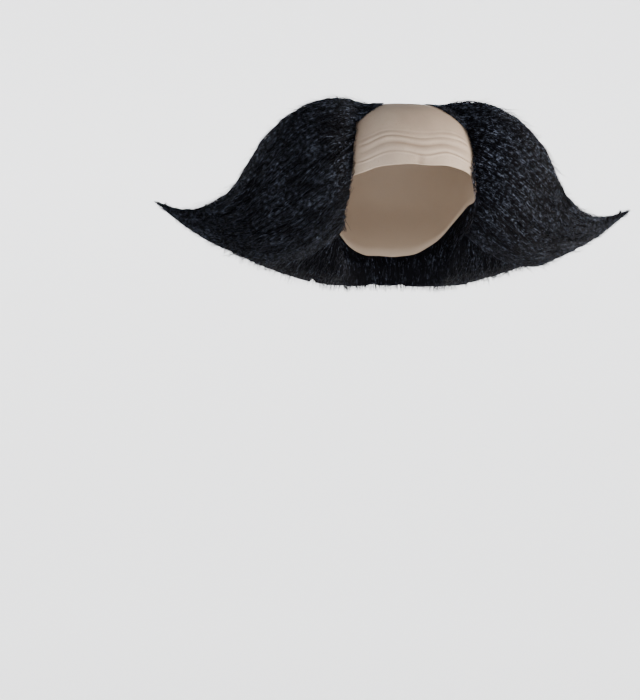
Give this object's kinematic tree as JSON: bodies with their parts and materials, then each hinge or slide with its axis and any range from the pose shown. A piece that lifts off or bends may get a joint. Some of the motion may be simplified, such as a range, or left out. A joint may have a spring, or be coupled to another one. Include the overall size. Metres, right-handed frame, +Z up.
{
  "type": "clown wig with bald cap",
  "caption": "Costume wig: beige latex bald cap with forehead furrows and big black frizzy side tufts that flick out to points, joined round the back.",
  "frame": {"origin": "inside of the cap's crown, where the head carries the wig", "axes": "+Z up, the wig faces -Y, the wearer's left is +X"},
  "size_m": [0.5066, 0.231, 0.2026],
  "materials": {
    "latex": "matte beige latex, furrowed over the forehead",
    "hair_fibre": "black frizzy synthetic fibre with a soft blue-grey sheen"
  },
  "bodies": {
    "root": {"bald_cap": "latex", "hair_right": "hair_fibre", "hair_left": "hair_fibre", "hair_back": "hair_fibre"}
  },
  "joints": []
}
